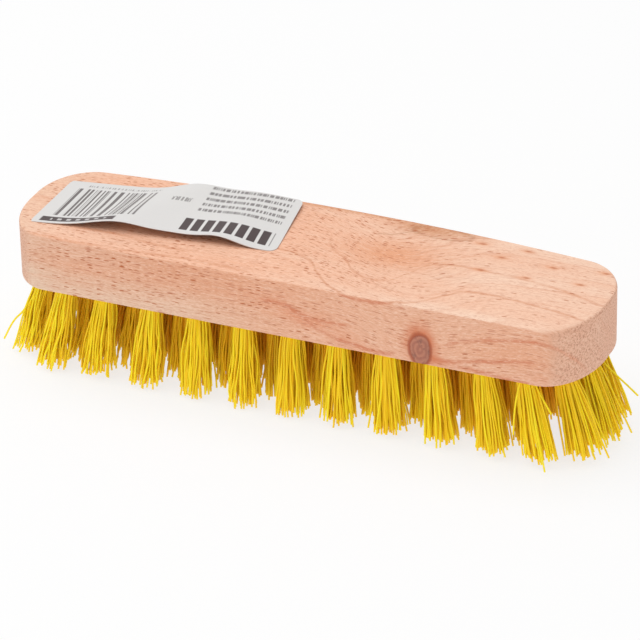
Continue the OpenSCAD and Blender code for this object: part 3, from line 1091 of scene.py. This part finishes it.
class BRUSH_OT_strays(bpy.types.Operator):
    """Bends the few loose filaments that stand off the end tufts"""

    bl_idname = "brush.strays"
    bl_label = "Loose filaments"

    def execute(self, context):
        brush = context.scene.scrub_brush
        curve = bpy.data.curves.new("loose_filaments", "CURVE")
        curve.dimensions = "3D"
        curve.bevel_depth = brush.tuft.filament / 2
        curve.bevel_resolution = 1
        curve.resolution_u = 6
        curve.use_fill_caps = True
        for way in STRAYS:
            spline = curve.splines.new("BEZIER")
            spline.bezier_points.add(len(way) - 1)
            for bend, place in zip(spline.bezier_points, way):
                bend.co = Vector(place) * MM
                bend.handle_left_type = "AUTO"
                bend.handle_right_type = "AUTO"
        maker = put("loose_filaments_curve", curve)
        context.view_layer.update()
        mesh = plain_mesh(maker, "loose_filaments")
        bpy.data.objects.remove(maker)
        piece = put("loose_filaments", mesh)
        mesh.materials.append(bpy.data.materials["yellow filament"])
        # The loose filaments take one tone, with no painted core shade
        tone_and_core_shade = mesh.attributes.new("filament_tone_and_core_shade", "FLOAT", "POINT")
        tone_and_core_shade.data.foreach_set("value", [0.8] * len(mesh.vertices))
        mesh.shade_smooth()
        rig.ride(piece, "root")
        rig.slot(piece, "bristle_plastic")
        return {"FINISHED"}


# The paper label
LABEL_MIDDLE = (-57.5, 2.0)
LABEL_TURN = math.radians(7)
LABEL_CORNERS = ((-2.0, 0.2), (0.5, 0.0), (-0.7, 2.5), (2.2, -1.1))
# Mesh cells along the label, and steps of each corner and of the straight part across it
LABEL_CELLS = 110
CORNER_STEPS = 7
MIDDLE_STEPS = 30


def label_bump(x, middle, spread):
    return math.exp(-(((x - middle) / spread) ** 2))


def label_skew(u, v):
    """How far the hand-stuck label is pulled out of square, for shares along and across it."""
    shares = ((1 - u) * (1 - v), u * (1 - v), u * v, (1 - u) * v)
    pulls = [Vector(pull) * share for pull, share in zip(LABEL_CORNERS, shares)]
    return sum(pulls, Vector(LABEL_MIDDLE))


def label_lift(sizes, u, v):
    """Height of the paper over the wood in millimetres, for shares along and across it."""
    main = sizes.wrinkle / MM
    inner = sizes.inner_wrinkle / MM
    return (
        main * (1 - 0.3 * v) * label_bump(u, 0.36 + 0.19 * v, 0.17 - 0.04 * v)
        + inner * (1 - 0.2 * v) * label_bump(u, 0.78 + 0.02 * v, 0.11 + 0.11 * v)
        + 0.45 * main * (1 - v) * label_bump(u, 0.6, 0.12)
    )


def label_material(finish):
    material, net = new_material("printed label paper")
    coordinates = net.add("ShaderNodeTexCoord")
    u, v, _ = net.split(coordinates["UV"])
    smooth = net.smooth

    def strip(value, low, high, soft=0.004):
        """1 between low and high, with soft edges."""
        return net.band(value, low - soft, low + soft, high - soft, high + soft)

    # Plain stripes of uneven width, over a dark band
    stripes = {"W": u * 62.0, "Scale": 1.0, "Detail": 1.0, "Roughness": 0.6}
    stripes = net.add("ShaderNodeTexNoise", stripes, noise_dimensions="1D")["Fac"]
    stripes = smooth(stripes, 0.49, 0.53) * strip(u, 0.06, 0.40) * strip(v, 0.19, 0.84)
    base_band = strip(u, 0.03, 0.335) * strip(v, 0.04, 0.145)
    base_gap = strip(u, 0.07, 0.30) * strip(v, 0.07, 0.115)
    base_gap = base_gap * smooth(net.math("FRACT", u * 26.0), 0.5, 0.6)

    # A row of plain bars, and thin broken lines beside it
    bars = net.band(net.math("FRACT", u * 22.0), 0.14, 0.2, 0.86, 0.92)
    bars = bars * strip(u, 0.591, 0.965) * strip(v, 0.07, 0.31)
    places = net.join(u * 130.0, net.math("FLOOR", v * 9.0) * 7.0, 0.0)
    breaks = {"Vector": places, "Scale": 1.0, "Detail": 0.0}
    breaks = net.add("ShaderNodeTexNoise", breaks, noise_dimensions="2D")["Fac"]
    lines = smooth(breaks, 0.42, 0.47) * strip(net.math("FRACT", v * 9.0), 0.30, 0.78, 0.06)
    lines = lines * strip(u, 0.62, 0.965) * strip(v, 0.445, 0.985)
    upper = smooth(breaks, 0.50, 0.55) * strip(u, 0.09, 0.41) * strip(v, 0.885, 0.925, 0.01)
    small = smooth(breaks, 0.44, 0.5) * strip(u, 0.49, 0.575) * strip(v, 0.60, 0.68, 0.01)
    ink = stripes * 0.85 + base_band - 0.8 * base_gap + bars
    ink = net.limit(ink + lines * 0.72 + upper * 0.5 + small * 0.6)

    # White paper with a faint cloud in it
    pulp = net.noise(coordinates["Object"], (900, 900, 900), 3.0)
    coat = Coat(net, finish.paper)
    coat.lay(smooth(pulp, 0.3, 0.7) * 0.35, srgb(219, 215, 212))
    coat.lay(ink, finish.print)
    values = {"Base Color": coat.colour, "Roughness": 0.42 + 0.12 * pulp - 0.08 * ink}
    finish_material(net, values, pulp + 0.3 * ink, 0.00004, 0.35)
    return material


class BRUSH_OT_label(bpy.types.Operator):
    """Lays the wrinkled paper label on the block, with plain printed bars"""

    bl_idname = "brush.label"
    bl_label = "Paper label"

    def execute(self, context):
        brush = context.scene.scrub_brush
        sizes = brush.label
        length = sizes.length / MM
        width = sizes.width / MM
        corner = sizes.corner / MM
        thick = sizes.thickness / MM
        turns = [math.pi / 2 * k / CORNER_STEPS for k in range(CORNER_STEPS + 1)]
        arc = [corner / width * (1 - math.cos(a)) for a in turns]
        middle = [
            arc[-1] + (1 - 2 * arc[-1]) * k / MIDDLE_STEPS for k in range(1, MIDDLE_STEPS)
        ]
        shares = arc + middle + [1 - a for a in reversed(arc)]
        turn = Matrix.Rotation(LABEL_TURN, 2)
        points = []
        marks = []
        for over in (thick, 0.0):
            for i in range(LABEL_CELLS + 1):
                u = i / LABEL_CELLS
                for v in shares:
                    edge = min(v, 1 - v) * width
                    inset = 0.0
                    if edge < corner:
                        inset = corner - math.sqrt(max(corner**2 - (corner - edge) ** 2, 0.0))
                        inset = inset * (0.3 + 0.7 * u)
                    flat = turn @ Vector(((2 * u - 1) * (length / 2 - inset), (v - 0.5) * width))
                    flat = flat + label_skew(u, v)
                    lift = label_lift(sizes, u, v)
                    points.append((flat.x, flat.y, TOP_Z + lift + over))
                    marks.append((0.5 + (2 * u - 1) * (0.5 - inset / length), v))
        across = len(shares)
        layer = (LABEL_CELLS + 1) * across
        faces = []
        for i in range(LABEL_CELLS):
            for j in range(across - 1):
                a = i * across + j
                b = a + across
                faces.append((a, b, b + 1, a + 1))
                faces.append((a + 1 + layer, b + 1 + layer, b + layer, a + layer))
        rim = [i * across for i in range(LABEL_CELLS + 1)]
        rim += [LABEL_CELLS * across + j for j in range(1, across)]
        rim += [i * across + across - 1 for i in range(LABEL_CELLS - 1, -1, -1)]
        rim += [j for j in range(across - 2, 0, -1)]
        faces += ring_strip([a + layer for a in rim], rim)
        piece = piece_from("printed_label", points, faces, label_material(brush.label_finish))
        layer_uv = piece.data.uv_layers.new(name="label")
        for loop in piece.data.loops:
            layer_uv.data[loop.index].uv = marks[loop.vertex_index]
        piece.data.set_sharp_from_angle(angle=math.radians(50))
        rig.ride(piece, "root")
        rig.replaces(piece, "paper_label")
        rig.slot(piece, "label_paper")
        return {"FINISHED"}


# The wire anchors, which keep their CAD shape
class BRUSH_OT_anchors(bpy.types.Operator):
    """Gives the flat wire anchors a drawn steel finish"""

    bl_idname = "brush.anchors"
    bl_label = "Wire anchors"

    def execute(self, context):
        material, net = new_material("drawn anchor wire")
        place = net.add("ShaderNodeTexCoord")["Object"]
        drawn = net.noise(place, (300, 4000, 4000))
        tarnish = net.noise(place, (400, 400, 400), 3.0)
        coat = Coat(net, srgb(176, 176, 180))
        coat.lay(net.smooth(tarnish, 0.4, 0.7) * 0.5, srgb(150, 143, 132))
        values = {"Base Color": coat.colour, "Metallic": 1.0, "Roughness": 0.30 + 0.2 * drawn}
        finish_material(net, values, drawn, 0.00003, 0.5)
        for slot in frame["nodes"]["tuft_anchors"].material_slots:
            slot.material = material
        return {"FINISHED"}


# Camera, lights and floor. The camera is fitted to the photograph: its angles are in degrees,
# and it stands back, right and up from its target in millimetres
CAMERA_AZIMUTH = 24.267
CAMERA_ELEVATION = 28.704
CAMERA_ROLL = -1.304
CAMERA_TARGET = (0, -3.5, TOP_Z)
CAMERA_SHIFT = (1478.604, 2.501, -24.914)
SENSOR_MM = 36.0
LENS_SENSORS = 4231.3 / 640
FLOOR_HALF = 4000
FLOOR_COLOUR = (0.92, 0.92, 0.92)
WHITE = (1, 1, 1)


def place_lamp(name, where, target, size, watts):
    lamp = bpy.data.lights.new(name, "AREA")
    lamp.shape = "RECTANGLE"
    lamp.size, lamp.size_y = size
    lamp.energy = watts
    holder = put(name, lamp)
    holder.location = where
    holder.rotation_euler = (Vector(target) - Vector(where)).to_track_quat("-Z", "Y").to_euler()


def place_camera():
    """Stands the camera where the photograph was taken from."""
    az, el, roll = (math.radians(a) for a in (CAMERA_AZIMUTH, CAMERA_ELEVATION, CAMERA_ROLL))
    back = Vector((math.sin(az) * math.cos(el), -math.cos(az) * math.cos(el), math.sin(el)))
    right = Vector((math.cos(az), math.sin(az), 0))
    up = back.cross(right)
    spot = Vector(CAMERA_TARGET)
    for way, shift in zip((back, right, up), CAMERA_SHIFT):
        spot = spot + way * shift
    level_x = math.cos(roll) * right + math.sin(roll) * up
    level_y = -math.sin(roll) * right + math.cos(roll) * up
    lens = bpy.data.cameras.new("photo camera")
    lens.sensor_width = SENSOR_MM
    lens.lens = LENS_SENSORS * SENSOR_MM
    lens.clip_start = 0.05
    lens.clip_end = 50.0
    camera = put("photo camera", lens)
    axes = Matrix((level_x, level_y, back)).transposed()
    camera.matrix_world = Matrix.Translation(spot * MM) @ axes.to_4x4()
    bpy.context.scene.camera = camera


def seen_rays(net):
    """1 where the camera sees a surface, straight or in a shine, and 0 where it only lights."""
    path = net.add("ShaderNodeLightPath")
    return net.limit(path["Is Camera Ray"] + path["Is Glossy Ray"] + path["Is Transmission Ray"])


def floor_material():
    """A white floor with a faint shadow, which lights the brush more than it shows."""
    material, net = new_material("pale floor")
    seen = seen_rays(net)
    plain = net.add("ShaderNodeBsdfDiffuse", {"Color": opaque(FLOOR_COLOUR)})
    bright = {"Color": opaque(WHITE), "Strength": 1.7 - seen * 0.7}
    bright = net.add("ShaderNodeEmission", bright)
    share = {"Fac": 0.4 + seen * 0.35, 1: plain["BSDF"], 2: bright["Emission"]}
    share = net.add("ShaderNodeMixShader", share)
    net.add("ShaderNodeOutputMaterial", {"Surface": share["Shader"]})
    return material


class BRUSH_OT_stage(bpy.types.Operator):
    """Sets the camera, the soft lights and the pale floor"""

    bl_idname = "brush.stage"
    bl_label = "Stage"

    def execute(self, context):
        settings = context.scene.scrub_brush.stage
        scene = context.scene
        scene.view_settings.view_transform = "Standard"
        corners = ((-1, -1), (1, -1), (1, 1), (-1, 1))
        corners = [(x * FLOOR_HALF, y * FLOOR_HALF, 0) for x, y in corners]
        floor = piece_from("floor", corners, [(0, 1, 2, 3)], floor_material())
        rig.stage(floor)
        world = bpy.data.worlds.new("soft room")
        net = clear_tree(world)
        strength = settings.sky + seen_rays(net) * (1.0 - settings.sky)
        shine = net.add("ShaderNodeBackground", {"Color": opaque(WHITE), "Strength": strength})
        net.add("ShaderNodeOutputWorld", {"Surface": shine["Background"]})
        scene.world = world
        place_lamp("key", (-0.4, -0.15, 1.6), (0, 0, 0.04), (1.7, 1.7), settings.key)
        place_lamp("fill", (0.5, -1.6, 0.5), (0, 0, 0.03), (0.9, 0.7), settings.fill)
        place_camera()
        return {"FINISHED"}


class BRUSH_PT_panel(bpy.types.Panel):
    """Lists the brush's sizes, finishes and builders"""

    bl_idname = "BRUSH_PT_panel"
    bl_label = "Scrub brush"
    bl_space_type = "VIEW_3D"
    bl_region_type = "UI"
    bl_category = "Scrub brush"

    def draw(self, context):
        brush = context.scene.scrub_brush
        groups = (
            ("Block", brush.block, "brush.block"),
            ("Wood", brush.wood, None),
            ("Tufts", brush.tuft, "brush.tufts"),
            ("Bristles", brush.bristle, "brush.strays"),
            ("Anchors", None, "brush.anchors"),
            ("Label", brush.label, "brush.label"),
            ("Print", brush.label_finish, None),
            ("Stage", brush.stage, "brush.stage"),
        )
        for title, group, operator in groups:
            box = self.layout.box()
            box.label(text=title)
            for name in group.bl_rna.properties.keys() if group else ():
                if name not in ("rna_type", "name"):
                    box.prop(group, name)
            if operator:
                box.operator(operator)


CLASSES = (
    BlockSizes, WoodFinish, TuftSizes, BristleFinish, LabelSizes, LabelFinish, StageSettings,
    ScrubBrush, BRUSH_OT_block, BRUSH_OT_tufts, BRUSH_OT_strays, BRUSH_OT_label,
    BRUSH_OT_anchors, BRUSH_OT_stage, BRUSH_PT_panel,
)


def register():
    for one in CLASSES:
        bpy.utils.register_class(one)
    bpy.types.Scene.scrub_brush = bpy.props.PointerProperty(type=ScrubBrush)


def unregister():
    del bpy.types.Scene.scrub_brush
    for one in reversed(CLASSES):
        bpy.utils.unregister_class(one)


def main():
    register()
    bpy.ops.brush.stage()
    bpy.ops.brush.block()
    bpy.ops.brush.tufts()
    bpy.ops.brush.strays()
    bpy.ops.brush.label()
    bpy.ops.brush.anchors()
    low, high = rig.bounds()
    sizes = {
        "cad": [list(cad_low), list(cad_high)],
        "visual": [list(low), list(high)],
    }
    with open("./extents.json", "w") as file:
        json.dump(sizes, file, indent=1)


if __name__ == "__main__":
    main()
